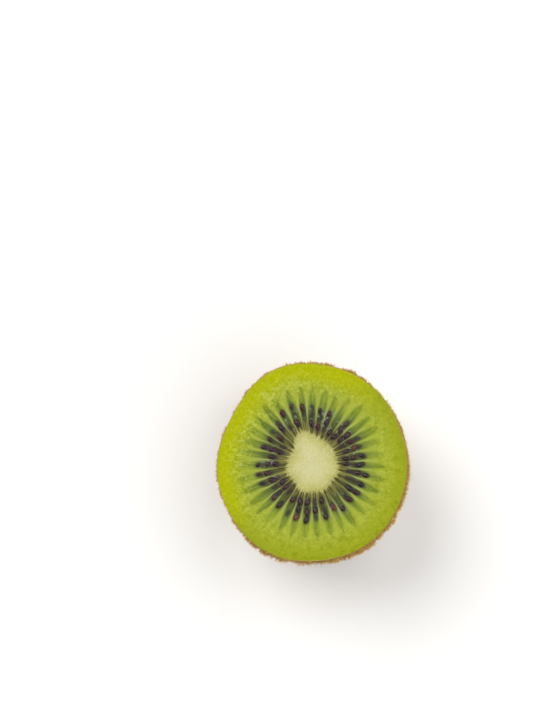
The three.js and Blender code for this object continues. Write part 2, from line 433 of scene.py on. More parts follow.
def face_fields(radius, place):
    """What the shaders and the relief need at points of the cut face. Distances are in millimetres."""
    angle = chamber_angle(place)
    x, y = radius * np.cos(angle), radius * np.sin(angle)
    chamber = np.floor(place) % CHAMBERS
    widths = np.diff(wall_angles())
    pitch = np.interp(place, np.arange(CHAMBERS) + 0.5, widths, period=CHAMBERS) * radius
    reach = np.clip((radius - FINGER_ROOT) / (finger_tip(chamber) + BLURRED_TIP - FINGER_ROOT), 0, 1)
    opening = np.maximum(0, pitch / 2 - FINGER_HALF_WIDTH * np.sqrt(1 - reach ** FINGER_BLUNTNESS))
    wall = np.floor(place + 0.5) % CHAMBERS
    sway = WALL_SWAY * soft_noise(radius / SWAY_LENGTH, wall * WALL_STEP, SWAY_SEED)
    return {
        "share": radius / rim_edge(angle),
        "core": (radius - core_edge(angle)) / MM,
        "wall": np.abs((place - np.floor(place + 0.5)) * pitch + sway) / MM,
        "opening": opening / MM,
        "wall_tint": draw(wall, DRAW_WALL_TINT),
        "chamber_tint": draw(chamber, DRAW_CHAMBER_TINT),
        "seed": outside_seeds(x, y, [seed[:3] for seed in seed_places()]) / MM,
        "sunk": outside_seeds(x, y, sunk_places()) / MM,
    }


def stretched_noise(x, y, lengths, seed, swirl=(0, 0)):
    """Noise whose cells have these lengths, moved by a swirl."""
    return soft_noise(x / lengths[0] + swirl[0], y / lengths[1] + swirl[1], seed)


def face_relief(radius, place, fields):
    """Height of the cut face over its plane: knife waves, furrows, strands, cells and the eased rim."""
    angle = chamber_angle(place)
    x, y = radius * np.cos(angle) / MM, radius * np.sin(angle) / MM
    share, beyond = fields["share"], fields["core"]
    outer = smooth_step(share, 0.6, 0.78)
    pith = 1 - smooth_step(beyond, -0.7, 0.45)
    finger = smooth_step(fields["wall"] - fields["opening"], -0.1, 0.5) * smooth_step(beyond, -0.2, 1.4)
    finger = finger * (1 - smooth_step(share, 0.5, 0.64))
    mound = 1 - smooth_step(np.minimum(fields["seed"], fields["sunk"] + 0.1), 0, 0.5)
    swirl = SWIRL * stretched_noise(x, y, (SWIRL_LENGTH, SWIRL_LENGTH), SWIRL_SEED)
    cells = stretched_noise(x, y, CELL_LENGTHS, CELL_SEED, (swirl, -swirl))
    cells = cells + FINE_CELLS * stretched_noise(x, y, FINE_CELL_LENGTHS, FINE_CELL_SEED, (0, swirl))
    lit_side = LIT_MIDDLE + LIT_SWING * np.cos(angle - math.radians(LIT_SIDE))
    strands = soft_noise(place * STRANDS_EACH, radius / (STRAND_LENGTH * MM), STRAND_SEED)
    strands = strands * smooth_step(share, 0.26, 0.34)
    height = KNIFE_HEIGHT * stretched_noise(x, y, KNIFE_LENGTHS, KNIFE_SEED)
    height += CELL_HEIGHT * outer * lit_side * cells
    height += STRAND_HEIGHT * (1 - outer) * strands
    height -= FURROW_DEPTH * finger * (1 - 0.5 * mound)
    grain = stretched_noise(x, y, (GRAIN_LENGTH, GRAIN_LENGTH), GRAIN_SEED)
    height += PITH_HEIGHT * pith + GRAIN_HEIGHT * pith * grain
    height += MOUND_HEIGHT * mound
    rim = rim_edge(angle)
    height -= RIM_DROP * smooth_step(radius, rim - RIM_EASE * MM, rim - SKIN_THICKNESS)
    return height * MM


# Meshes


def signed_volume(points, faces):
    a, b, c = points[faces[:, 0]], points[faces[:, 1]], points[faces[:, 2]]
    return float(np.einsum("ij,ij->i", a, np.cross(b, c)).sum())


def new_object(name, points, faces):
    """A smooth-shaded object of these points and faces, turned right side out."""
    fan = np.array([(f[0], f[k], f[k + 1]) for f in faces for k in range(1, len(f) - 1)])
    if signed_volume(points, fan) < 0:
        faces = [tuple(reversed(f)) for f in faces]
    mesh = bpy.data.meshes.new(name)
    mesh.from_pydata(points.tolist(), [], faces)
    mesh.update()
    mesh.polygons.foreach_set("use_smooth", [True] * len(mesh.polygons))
    made = bpy.data.objects.new(name, mesh)
    bpy.context.scene.collection.objects.link(made)
    return made


def add_field(mesh, name, values):
    field = mesh.attributes.new(name, "FLOAT", "POINT")
    field.data.foreach_set("value", np.asarray(values, np.float32))


def read_all(items, key, kind, width=1):
    """One value of every item, or several when the width is more than one, in one array."""
    values = np.empty(len(items) * width, kind)
    items.foreach_get(key, values)
    return values


def strip_faces(rows, columns, ring=False):
    """Faces between neighbouring rows of points, and in a ring between the last row and the first."""
    steps = np.arange(columns)
    ahead = (steps + 1) % columns
    faces = []
    for row in range(rows if ring else rows - 1):
        low, high = row * columns, (row + 1) % rows * columns
        faces += np.stack([low + steps, low + ahead, high + ahead, high + steps], 1).tolist()
    return faces


def tip_faces(rows, columns):
    """Faces that close the first and last row with the two points that follow the rows."""
    steps = np.arange(columns)
    ahead = (steps + 1) % columns
    last, first_tip = (rows - 1) * columns, rows * columns
    low = np.stack([ahead, steps, np.full(columns, first_tip)], 1)
    high = np.stack([last + steps, last + ahead, np.full(columns, first_tip + 1)], 1)
    return low.tolist() + high.tolist()


def lofted(name, rows, columns, *tips):
    """Closed solid through rows of points. It ends in two tips, or without them it is a ring."""
    faces = strip_faces(len(rows), columns, ring=not tips)
    if tips:
        faces += tip_faces(len(rows), columns)
    return new_object(name, np.concatenate([*rows, *([tip] for tip in tips)]), faces)


def ring_of(radius, angle, height):
    flat = np.stack([radius * np.cos(angle), radius * np.sin(angle), np.broadcast_to(height, angle.shape)], 1)
    return flat + SHIFT


def on_axis(height):
    return SHIFT + [0, 0, height]


def bake_map(made, columns, rows, top_rows, width):
    """UV map: the top as seen from above in a square, and the hidden walls in a strip over it."""
    mesh = made.data
    vertex = read_all(mesh.loops, "vertex_index", np.int64)
    points = read_all(mesh.vertices, "co", float, 3).reshape(-1, 3)
    first = read_all(mesh.polygons, "loop_start", np.int64)
    face = np.repeat(np.arange(len(first)), read_all(mesh.polygons, "loop_total", np.int64))
    row, column = vertex // columns, vertex % columns
    is_top = np.isin(row, top_rows) | (row >= rows) & (points[vertex, 2] > CUT_HEIGHT - TOP_BAND)
    top_face = np.logical_and.reduceat(is_top, first)[face]
    least = np.minimum.reduceat(column, first)[face]
    most = np.maximum.reduceat(column, first)[face]
    wraps = (most - least > columns / 2) & (column < columns / 2)
    across = (column + columns * wraps) / columns
    flat = points[vertex, :2] * BAKE_HALF / width + BAKE_MIDDLE
    strip = np.stack([across, STRIP_START + STRIP_HEIGHT * np.clip(row / rows, 0, 1)], 1)
    uv = np.where(top_face[:, None], flat, strip)
    mesh.uv_layers.new(name="OFBake").uv.foreach_set("vector", uv.astype(np.float32).ravel())


def seat(piece, material, slot, *nodes):
    """Gives a finished piece its material and its place in the frame, and hides the nodes it stands for; its
    slot is not used.
    """
    piece.data.materials.clear()
    piece.data.materials.append(material)
    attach(piece, BODY)
    if nodes:
        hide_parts(*nodes)


def inward(points, thickness):
    """Points of the dome's outside moved in by about this thickness, by scaling about the cut's middle."""
    middle = on_axis(CUT_HEIGHT)
    return middle + (points - middle) * (1 - thickness / FACE_RADIUS)


def lump(angle, height):
    fade = np.sin(np.pi * height / CUT_HEIGHT)
    along = TURN * height / LUMP_LENGTH
    return sum(LUMP_HEIGHT * fade * np.sin(crests * angle + lean * along) for crests, lean in LUMP_WAVES)


def unevenness(angle, share, height):
    """Pores and bulges of the outside, which fade out at the cut and at the flat spot."""
    pores_up = np.full_like(angle, height / PORE_LENGTH)
    pores = soft_noise(angle * PORES_ROUND * share + PORE_START, pores_up, PORE_SEED)
    bulges_up = np.sin(angle) * BULGES_ROUND + height / BULGE_LENGTH
    bulges = soft_noise(np.cos(angle) * BULGES_ROUND + BULGE_START, bulges_up, BULGE_SEED)
    fade = math.sin(math.pi * min(1, max(0, height / CUT_HEIGHT)))
    return fade * (PORE_HEIGHT * pores + BULGE_HEIGHT * bulges) * MM


def dome_rows(angle, rows):
    """Rows of the half's outside from the dimple's rim on the flat spot up to the cut."""
    made = [ring_of(np.full_like(angle, DIMPLE_RADIUS), angle, 0.0)]
    for share, height in zip(*end_profile(NATURAL_DEPTH, END_BLUNTNESS, rows, CUT_HEIGHT)):
        radius = FACE_RADIUS * share * (1 + share * waves(RIM_WAVES, angle)) + lump(angle, height)
        made.append(ring_of(radius + unevenness(angle, share, height), angle, height))
    return made


def core_wall(angle):
    """Rows of the core's outside from the lowest up to just under the cut."""
    shares, heights = end_profile(CORE_DEPTH, CORE_BLUNTNESS, WALL_ROWS + 1)
    return [
        ring_of(share * CORE_RADIUS * (1 + share * waves(CORE_WAVES, angle)), angle, height)
        for share, height in zip(shares[1:WALL_ROWS], heights[1:WALL_ROWS])
    ]


def finger_wall(place):
    """Rows of the wall between the seed ring and the outer flesh, from the lowest up."""
    shares, heights = end_profile(RING_DEPTH, RING_BLUNTNESS, WALL_ROWS + 1)
    angle, edge = chamber_angle(place), finger_edge(place)
    return [ring_of(s * edge, angle, h) for s, h in zip(shares[2:WALL_ROWS], heights[2:WALL_ROWS])]


def top_rows(inner, outer, shares, place):
    """Rows of the cut face between two edges, with relief, and their fields."""
    angle = chamber_angle(place)
    rows, fields = [], []
    for share in shares:
        radius = inner + (outer - inner) * share
        masks = face_fields(radius, place)
        rows.append(ring_of(radius, angle, CUT_HEIGHT + face_relief(radius, place, masks)))
        fields.append(masks)
    return rows, fields


def flesh_piece(name, below, top, after, place, width, *tips):
    """A tissue from the rows of its walls and of its top. A wall has the fields of the edge beside it."""
    top_points, fields = top
    rows = below + top_points + after
    made = lofted(name, rows, len(place), *tips)
    spread = [fields[0]] * len(below) + fields + [fields[-1]] * len(after)
    ends = (spread[0], spread[-1]) if tips else ()
    for key in fields[0]:
        values = np.concatenate([masks[key] for masks in spread])
        add_field(made.data, key, np.append(values, [masks[key].mean() for masks in ends]))
    numbers = list(range(len(below), len(below) + len(top_points)))
    bake_map(made, len(place), len(rows), numbers, width)
    made.data.set_sharp_from_angle(angle=math.radians(SHARP_ANGLE))
    return made


def build_core(place):
    """The core, a spindle whose tip is its lowest point."""
    angle = chamber_angle(place)
    edge = core_edge(angle)
    shares = 1 - np.linspace(0, 1, CORE_ROWS, endpoint=False) ** CORE_CROWDING
    top = top_rows(np.zeros_like(edge), edge, shares, place)
    tips = on_axis(CUT_HEIGHT - CORE_DEPTH), on_axis(float(top[0][-1][:, 2].mean()))
    return flesh_piece("core_flesh", core_wall(angle), top, [], place, CORE_RADIUS * 1.35, *tips)


def build_inner(place):
    """The seed ring round the core, closed like a tube."""
    angle = chamber_angle(place)
    lowest = CUT_HEIGHT - RING_DEPTH + RING_FLOOR_GAP
    inside = [row for row in core_wall(angle) if row[0, 2] > lowest]
    top = top_rows(core_edge(angle), finger_edge(place), np.linspace(0, 1, RING_ROWS), place)
    return flesh_piece("inner_flesh", inside, top, finger_wall(place)[::-1], place, FINGER_TIP * 1.1)


def build_outer(place):
    """The outer flesh: cavity, cut face and outside under the skin."""
    angle = chamber_angle(place)
    rim = rim_edge(angle) * (1 - SKIN_THICKNESS / FACE_RADIUS)
    cavity = finger_wall(place)
    low_core = [row for row in core_wall(angle) if row[0, 2] < cavity[0][0, 2] - CAVITY_GAP]
    top = top_rows(finger_edge(place), rim, np.linspace(0, 1, OUTER_ROWS) ** OUTER_CROWDING, place)
    outside = [inward(row, SKIN_THICKNESS) for row in dome_rows(angle, OUTSIDE_ROWS)[1:-1]]
    tips = on_axis(CUT_HEIGHT - CORE_DEPTH), on_axis(float(outside[0][:, 2].mean()))
    below, after = low_core + cavity, outside[::-1]
    return flesh_piece("outer_flesh_body", below, top, after, place, FACE_RADIUS * 1.06, *tips)


def build_skin():
    """Thin shell outside the flesh, from the rim down to the dimple of the end scar."""
    angle = np.linspace(0, TURN, SKIN_SIDES, endpoint=False)
    dimple = [ring_of(np.full_like(angle, DIMPLE_RADIUS * share), angle, DIMPLE_DEPTH * rise)
              for share, rise in DIMPLE_ROWS]
    outside = dome_rows(angle, SKIN_ROWS)
    drop = np.array([0, 0, SKIN_EDGE_DROP])
    outside[-1] = outside[-1] - drop * SKIN_EDGE_SHARES[0]
    rim = inward(outside[-1], SKIN_THICKNESS * 0.5) + drop * SKIN_EDGE_SHARES[1]
    inside = [inward(row, SKIN_THICKNESS) for row in outside[::-1]]
    rows = dimple + outside + [rim] + inside
    tips = on_axis(DIMPLE_DEPTH), on_axis(DIMPLE_DEPTH + SKIN_THICKNESS * 1.3)
    made = lofted("skin", rows, SKIN_SIDES, *tips)
    heights = np.concatenate([row[:, 2] for row in rows])
    # Near the cut the skin turns pale: partly its pale cut edge, partly painted light over the shade among
    # the hair roots.
    lightened_near_cut = smooth_step(heights, CUT_HEIGHT - 1.1 * MM, CUT_HEIGHT - 0.3 * MM)
    add_field(made.data, "cut", np.append(lightened_near_cut, [0, 0]))
    return made


def build_fuzz_bed():
    """The outside of the skin alone, for hairs to stand on. It isn't kept."""
    angle = np.linspace(0, TURN, SKIN_SIDES, endpoint=False)
    rows = dome_rows(angle, SKIN_ROWS)[1:]
    points = np.concatenate(rows)
    mesh = bpy.data.meshes.new("fuzz_bed")
    mesh.from_pydata(points.tolist(), [], strip_faces(len(rows), SKIN_SIDES))
    mesh.update()
    x, y, height = points.T
    angle = np.arctan2(y, x)

    def patches(size, seed):
        up = height / size
        return 0.7 * (soft_noise(x / size, up, seed) + soft_noise(y / size, up, seed + 1))

    def towards_cut(start, end):
        return smooth_step(height, CUT_HEIGHT - start * MM, CUT_HEIGHT - end * MM)

    def towards_side(side, start, end):
        return smooth_step(np.cos(angle - math.radians(side)), start, end)

    clumps = patches(CLUMP_SIZE, CLUMP_SEED)
    even = 0.7 + 0.6 * smooth_step(clumps, -0.45, 0.5)
    gathered = 0.12 + 1.7 * smooth_step(clumps, -0.1, 0.45)
    tufts = even + (gathered - even) * towards_cut(5, 1.5)
    full = 0.25 + 0.75 * towards_side(FULL_SIDE, 0.1, 0.8) + 0.55 * towards_side(SECOND_SIDE, 0.85, 1)
    thinned = 1 - towards_cut(2.2, 0.2) * (1 - 0.5 * full)
    add_field(mesh, "growth", smooth_step(height, 0.2 * MM, 1.5 * MM) * tufts * thinned)
    shorter = 1 - towards_cut(8, 1.5) * (0.72 - 0.34 * full)
    add_field(mesh, "vigour", (0.68 + 0.35 * np.minimum(tufts, 1.5)) * shorter)
    fringe = smooth_step(patches(TUFT_SIZE, TUFT_SEED) + 0.25 * clumps, 0.12, 0.5)
    add_field(mesh, "rim_growth", towards_cut(3, 0.8) * full * fringe)
    return mesh


def seed_form():
    """Points of a ball of unit radius with its poles along X last, and its faces."""
    side = np.linspace(0, TURN, SEED_SIDES, endpoint=False)
    rows = []
    for s in np.linspace(0, np.pi, SEED_STACKS + 1)[1:-1]:
        y, z = math.sin(s) * np.cos(side), math.sin(s) * np.sin(side)
        rows.append(np.stack([np.full_like(side, -math.cos(s)), y, z], 1))
    faces = strip_faces(len(rows), SEED_SIDES) + tip_faces(len(rows), SEED_SIDES)
    return np.concatenate([*rows, [[-1.0, 0, 0], [1.0, 0, 0]]]), faces


def seed_mesh(name, places):
    """Tear-shaped seeds joined in one mesh, their points towards the core."""
    points, faces = seed_form()
    pinch = 1 - SEED_PINCH * smooth_step(-points[:, 0], 0.4, 1)
    girth = (1 + SEED_TAPER * points[:, 0]) * pinch
    all_points, all_faces = [], []
    for index, (radius, angle, turn, _, rise) in enumerate(places):
        x = points[:, 0] * SEED_LENGTH / 2 * (SEED_SIZES[0] + SEED_SIZES[1] * draw(index, DRAW_SIZE))
        wide = SEED_GIRTHS[0] + SEED_GIRTHS[1] * draw(index, DRAW_GIRTH)
        y = points[:, 1] * SEED_WIDTH / 2 * girth * wide
        z = points[:, 2] * SEED_THICKNESS / 2 * girth
        pitch = math.radians(SEED_PITCH) * (2 * draw(index, DRAW_PITCH) - 1)
        z = z + x * math.sin(pitch) - SEED_SINK - SEED_DEEPEST * (1 - rise) ** 2
        cos, sin = math.cos(angle + turn), math.sin(angle + turn)
        placed = [
            radius * math.cos(angle) + x * cos - y * sin,
            radius * math.sin(angle) + x * sin + y * cos,
            CUT_HEIGHT + z,
        ]
        all_points.append(np.stack(placed, 1) + SHIFT)
        all_faces += [tuple(index * len(points) + v for v in face) for face in faces]
    made = new_object(name, np.concatenate(all_points), all_faces)
    middle = np.clip(1 - np.hypot(points[:, 0] - WARM_MIDDLE, points[:, 1]), 0, 1)
    add_field(made.data, "middle", np.tile(middle, len(places)))
    add_field(made.data, "tint", np.repeat([place[3] for place in places], len(points)))
    return made


def build_scar():
    """Small woody button with broken ridges, sunk in the end's dimple."""
    angle = np.linspace(0, TURN, SCAR_SIDES, endpoint=False)
    ridge = 1 + 0.09 * np.cos(9 * angle) + 0.05 * np.cos(4 * angle + 1)
    rows = [
        ring_of(SCAR_RADIUS * share * ridge, angle, height + 0.05 * MM * np.cos(7 * angle + row))
        for row, (share, height) in enumerate(SCAR_ROWS)
    ]
    tips = on_axis(DIMPLE_DEPTH + 0.15 * MM), on_axis(SCAR_RISE + 0.05 * MM)
    return lofted("end_scar", rows, SCAR_SIDES, *tips)


# Nodes


class Tree:
    """A node tree with short ways to add nodes. A value is a number, a tuple, a text or an output to link."""

    def __init__(self, data):
        self.data = data

    def feed(self, node, values):
        """Sets or links a node's inputs, which are the keys of the values."""
        for socket, value in values.items():
            if isinstance(value, bpy.types.NodeSocket):
                self.data.links.new(value, node.inputs[socket])
            else:
                node.inputs[socket].default_value = value

    def node(self, kind, values=(), **settings):
        made = self.data.nodes.new(kind)
        for key, value in settings.items():
            setattr(made, key, value)
        self.feed(made, dict(values))
        return made

    def maths(self, operation, *values):
        return self.node("ShaderNodeMath", enumerate(values), operation=operation).outputs[0]

    def times(self, total, *values):
        for value in values:
            total = self.maths("MULTIPLY", total, value)
        return total

    def minus(self, value, taken):
        return self.maths("SUBTRACT", value, taken)

    def linear(self, value, slope, start):
        """The value times the slope, plus the start."""
        return self.maths("MULTIPLY_ADD", value, slope, start)

    def around(self, value, pattern, spread):
        """A value that a pattern moves up and down by this spread in all."""
        return self.linear(pattern, spread, value - spread / 2)

    def rise(self, value, low, high, kind="SMOOTHSTEP"):
        """0 up to low, 1 from high on, and rising between them."""
        values = {"Value": value, "From Min": low, "From Max": high}
        return self.node("ShaderNodeMapRange", values, interpolation_type=kind).outputs["Result"]

    def fall(self, value, low, high):
        return self.minus(1.0, self.rise(value, low, high))

    def mixed(self, share, low, high, blend="MIX"):
        """Mix of two colours, each an output or a plain colour."""
        low, high = (c if isinstance(c, bpy.types.NodeSocket) else (*c, 1) for c in (low, high))
        values = {0: share, 6: low, 7: high}
        return self.node("ShaderNodeMix", values, data_type="RGBA", blend_type=blend).outputs[2]

    def ramp(self, share, stops):
        """Colour ramp through stops, each a place and a colour."""
        made = self.node("ShaderNodeValToRGB", {0: share})
        elements = made.color_ramp.elements
        while len(elements) < len(stops):
            elements.new(0.5)
        for element, (place, colour) in zip(elements, stops):
            element.position = place
            element.color = (*colour, 1)
        return made.outputs["Color"]

    def noise(self, vector, scale, detail=2.0, roughness=0.5, output="Fac"):
        values = {"Vector": vector, "Scale": scale, "Detail": detail, "Roughness": roughness}
        return self.node("ShaderNodeTexNoise", values).outputs[output]

    def vector(self, operation, *values, output=0):
        return self.node("ShaderNodeVectorMath", enumerate(values), operation=operation).outputs[output]

    def scaled(self, vector, factor):
        return self.node("ShaderNodeVectorMath", {0: vector, "Scale": factor}, operation="SCALE").outputs[0]

    def split(self, vector):
        return self.node("ShaderNodeSeparateXYZ", {0: vector}).outputs

    def joined(self, x, y, z=0.0):
        return self.node("ShaderNodeCombineXYZ", {0: x, 1: y, 2: z}).outputs[0]

    def bump(self, height, distance, strength=1.0):
        values = {"Height": height, "Distance": distance, "Strength": strength}
        return self.node("ShaderNodeBump", values).outputs["Normal"]

    def field(self, name):
        """A mesh's own field, in a shader."""
        return self.node("ShaderNodeAttribute", attribute_name=name).outputs["Fac"]

    def named(self, name):
        """A geometry's own field, in Geometry Nodes."""
        return self.node("GeometryNodeInputNamedAttribute", {"Name": name}, data_type="FLOAT").outputs[0]

    def stored(self, geometry, name, value, domain="POINT", kind="FLOAT"):
        values = {"Geometry": geometry, "Name": name, "Value": value}
        return self.node("GeometryNodeStoreNamedAttribute", values, data_type=kind, domain=domain).outputs[0]

    def placed(self, group, values):
        return self.node("ShaderNodeGroup", values, node_tree=group).outputs


def new_group(kind, name, inputs, outputs):
    """An empty group with these sockets: its tree, its inputs' values and its output node."""
    group = bpy.data.node_groups.new(name, kind)
    for direction, sockets in (("INPUT", inputs), ("OUTPUT", outputs)):
        for socket, content, default in sockets:
            kind_name = "NodeSocket" + content
            made = group.interface.new_socket(name=socket, in_out=direction, socket_type=kind_name)
            if default is not None:
                made.default_value = default
    tree = Tree(group)
    return tree, tree.node("NodeGroupInput").outputs, tree.node("NodeGroupOutput")


def new_material(name):
    """A node material, its tree, its shader and Object coordinates."""
    material = bpy.data.materials.new(name)
    material.use_nodes = True
    tree = Tree(material.node_tree)
    shader = next(node for node in material.node_tree.nodes if node.type == "BSDF_PRINCIPLED")
    return material, tree, shader, tree.node("ShaderNodeTexCoord").outputs["Object"]


# Shared effects

FACE_FIELDS = ("Share", "Core", "Wall", "Opening", "Wall Tint", "Chamber Tint", "Seed", "Sunk")
PATTERNS = ("Strands", "Fine Strands", "Specks", "Grain", "Cells", "Broad", "Mottle", "Web", "Side", "Glint")


def strand_group():
    """Fine strands that run out from the face's centre."""
    inputs = [
        ("Vector", "Vector", None), ("Fineness", "Float", 20.0),
        ("Length", "Float", 250.0), ("Detail", "Float", 2.5),
    ]
    tree, given, leave = new_group("ShaderNodeTree", "Radial strands", inputs, [("Strands", "Float", None)])
    x, y, _ = tree.split(given["Vector"])
    flat = tree.joined(x, y)
    length = tree.vector("LENGTH", flat, output="Value")
    around = tree.scaled(tree.vector("NORMALIZE", flat), given["Fineness"])
    along = tree.joined(0.0, 0.0, tree.times(length, given["Length"]))
    place = tree.vector("ADD", around, along)
    tree.feed(leave, {"Strands": tree.noise(place, 1.0, given["Detail"], 0.55)})
    return tree.data


def cell_group():
    """Juice cells: pale specks and a height of small swollen cells."""
    inputs = [("Vector", "Vector", None), ("Size", "Float", 900.0)]
    outputs = [("Specks", "Float", None), ("Height", "Float", None)]
    tree, given, leave = new_group("ShaderNodeTree", "Juice cells", inputs, outputs)
    swirl = tree.noise(given["Vector"], 420.0, output="Color")
    warp = tree.vector("MULTIPLY_ADD", swirl, (0.0022, 0.0022, 0.0022), given["Vector"])
    values = {"Vector": warp, "Scale": given["Size"], "Smoothness": 0.7}
    cells = tree.node("ShaderNodeTexVoronoi", values, feature="SMOOTH_F1").outputs["Distance"]
    bright = tree.noise(warp, tree.times(given["Size"], 1.15), 1.0)
    fine = tree.noise(given["Vector"], 2600.0, 3.0, 0.6)
    tree.feed(leave, {
        "Specks": tree.rise(bright, 0.55, 0.72),
        "Height": tree.linear(fine, 0.12, tree.rise(cells, 0.75, 0.1)),
    })
    return tree.data


def inner_colour(tree, look, given, share):
    """Colour of the flesh between the fingers and in them, and how much a point lies in a finger."""
    streak = tree.rise(given["Strands"], 0.36, 0.66)
    tooth = tree.rise(given["Fine Strands"], 0.45, 0.55)
    # Near the skin the pale ramp ends slightly darker: partly the flesh's own tone, partly painted shade
    # where the rim curves away.
    pale = tree.ramp(share, [
        (0.30, look.strand), (0.46, look.wedge_root), (0.60, look.wedge),
        (0.76, look.middle), (0.90, look.outer), (1.0, look.rim),
    ])
    dark = tree.ramp(share, [
        (0.30, look.chamber_root), (0.43, look.chamber), (0.57, look.chamber_mid), (0.73, look.chamber_tip),
    ])
    soft = tree.linear(tree.rise(share, *BLUR_START), *BLUR)
    sway = tree.times(tree.minus(given["Strands"], 0.5), tree.times(soft, 1.5))
    inside = tree.minus(tree.minus(given["Wall"], given["Opening"]), 0.08)
    finger = tree.rise(tree.maths("ADD", inside, sway), tree.times(soft, -1.0), soft)
    finger = tree.times(finger, tree.linear(streak, STREAKED, 1.0), tree.fall(share, *FINGER_END))
    faint = tree.times(tree.minus(1.0, given["Chamber Tint"]), tree.rise(share, *FAINT_START), FAINTED)
    finger = tree.times(finger, tree.minus(1.0, faint))
    teeth = tree.times(tree.fall(given["Core"], 1.0, 4.2), tooth, TOOTHED)
    colour = tree.mixed(finger, pale, tree.mixed(teeth, dark, look.strand))

    drawn = tree.times(tree.linear(given["Wall Tint"], *WALL_TINTS), tree.linear(streak, *WALL_STREAKS))
    line = tree.times(tree.fall(given["Wall"], 0.07, 0.3), drawn)
    line = tree.times(line, tree.fall(share, *WALL_END), tree.rise(share, *WALL_START))
    colour = tree.mixed(line, colour, look.wall)
    rays = tree.times(tree.minus(1.0, finger), tree.rise(share, *RAY_START), tree.fall(share, *RAY_END))
    return tree.mixed(tree.times(rays, streak, RAYS), colour, look.ray), finger


def seedy_colour(tree, look, given, share, colour):
    """Adds stains round the seeds, sunk seeds, and a painted reflection: the gleam of juice among them."""
    stain = tree.times(tree.fall(given["Seed"], -0.1, 0.5), STAIN)
    colour = tree.mixed(stain, colour, look.stain)
    sunk = tree.times(tree.fall(given["Sunk"], -0.3, 0.22), SUNK)
    colour = tree.mixed(sunk, colour, look.sunk)
    # Painted reflection: a grey-green gleam of juice in patches among the seeds.
    wet = tree.times(tree.rise(share, *SEEDY_START), tree.fall(share, *SEEDY_END))
    wet = tree.times(wet, tree.rise(given["Specks"], 0.2, 0.8), tree.rise(given["Broad"], 0.41, 0.56), PAINTED_JUICE_SHEEN)
    return tree.mixed(wet, colour, look.juice)


def outer_colour(tree, look, given, share, finger, colour):
    """Adds what the outer flesh shows: deeper patches, painted light on its side toward the key light, and a
    web, specks and cells that are partly pale tissue and partly painted highlights.
    """
    glint, side, cells = given["Glint"], given["Side"], given["Cells"]
    outer = tree.rise(share, *OUTER_START)
    mottle = tree.times(tree.rise(given["Mottle"], 0.48, 0.7), outer, tree.linear(glint, *MOTTLE))
    colour = tree.mixed(mottle, colour, look.mottle)
    # Painted light: the flesh on the side toward the key light is brighter and yellower, standing in for
    # light through the flesh.
    painted_lit_side = tree.times(side, tree.rise(share, *PAINTED_LIT_SIDE_START), PAINTED_LIT_SIDE)
    colour = tree.mixed(painted_lit_side, colour, look.painted_lit_side)
    # Pale web, specks and cells: partly the flesh's pale tissue, partly painted highlights that grow toward
    # the key light.
    pale_speck_and_highlight = tree.mixed(tree.rise(share, *RIM_START), look.pale_speck_and_highlight, look.rim_speck_and_highlight)
    web = tree.times(given["Web"], tree.rise(share, *HIGHLIGHT_WEB_START), tree.fall(share, *HIGHLIGHT_WEB_END))
    colour = tree.mixed(tree.times(web, tree.linear(glint, *PALE_WEB_AND_HIGHLIGHTS)), colour, pale_speck_and_highlight)
    amount = tree.linear(tree.maths("ADD", glint, side), *PALE_SPECKS_AND_HIGHLIGHTS)
    specks = tree.times(given["Specks"], outer, amount, tree.fall(share, *HIGHLIGHT_SPECK_END))
    colour = tree.mixed(specks, colour, pale_speck_and_highlight)
    light = tree.times(tree.linear(side, *PALE_CELLS_AND_HIGHLIGHTS), tree.linear(finger, CELLS_IN_FINGERS, 1.0))
    colour = tree.mixed(tree.times(tree.rise(cells, 0.5, 0.66), outer, light), colour, pale_speck_and_highlight)
    return tree.mixed(tree.times(tree.rise(cells, 0.5, 0.34), outer, CELLS_DARK), colour, look.mottle)


def core_colour(tree, look, given, colour):
    """Adds the core, whose ragged edge reaches out along the walls between the chambers."""
    spike = tree.times(tree.fall(given["Wall"], 0.0, 0.4), SPIKES)
    ragged = tree.linear(tree.minus(given["Fine Strands"], 0.5), RAGGED, given["Core"])
    pith = tree.fall(tree.minus(ragged, spike), -0.6, 0.35)
    core = tree.ramp(tree.times(given["Core"], CORE_DEPTH_SCALE), [
        (0.0, look.core_edge), (0.16, look.core_outer), (0.42, look.core_middle), (0.9, look.core),
    ])
    core = tree.mixed(tree.times(given["Grain"], CORE_GRAINS), core, look.core_grain)
    return tree.mixed(pith, colour, core)


def flesh_colour_group(look):
    """Colour of the cut face from its fields, for all three tissues alike, so that no border shows."""
    inputs = [(name, "Float", 0.0) for name in FACE_FIELDS + PATTERNS]
    outputs = [("Color", "Color", None)]
    tree, given, leave = new_group("ShaderNodeTree", "Kiwi flesh colour", inputs, outputs)
    share = tree.linear(tree.minus(given["Broad"], 0.5), BROAD_SWAY, given["Share"])
    colour, finger = inner_colour(tree, look, given, share)
    colour = seedy_colour(tree, look, given, share, colour)
    colour = outer_colour(tree, look, given, share, finger, colour)
    colour = core_colour(tree, look, given, colour)
    colour = tree.mixed(tree.rise(given["Share"], *UNDER_SKIN), colour, look.under_skin)
    tree.feed(leave, {"Color": colour})
    return tree.data


# Sizes and looks that a user would change


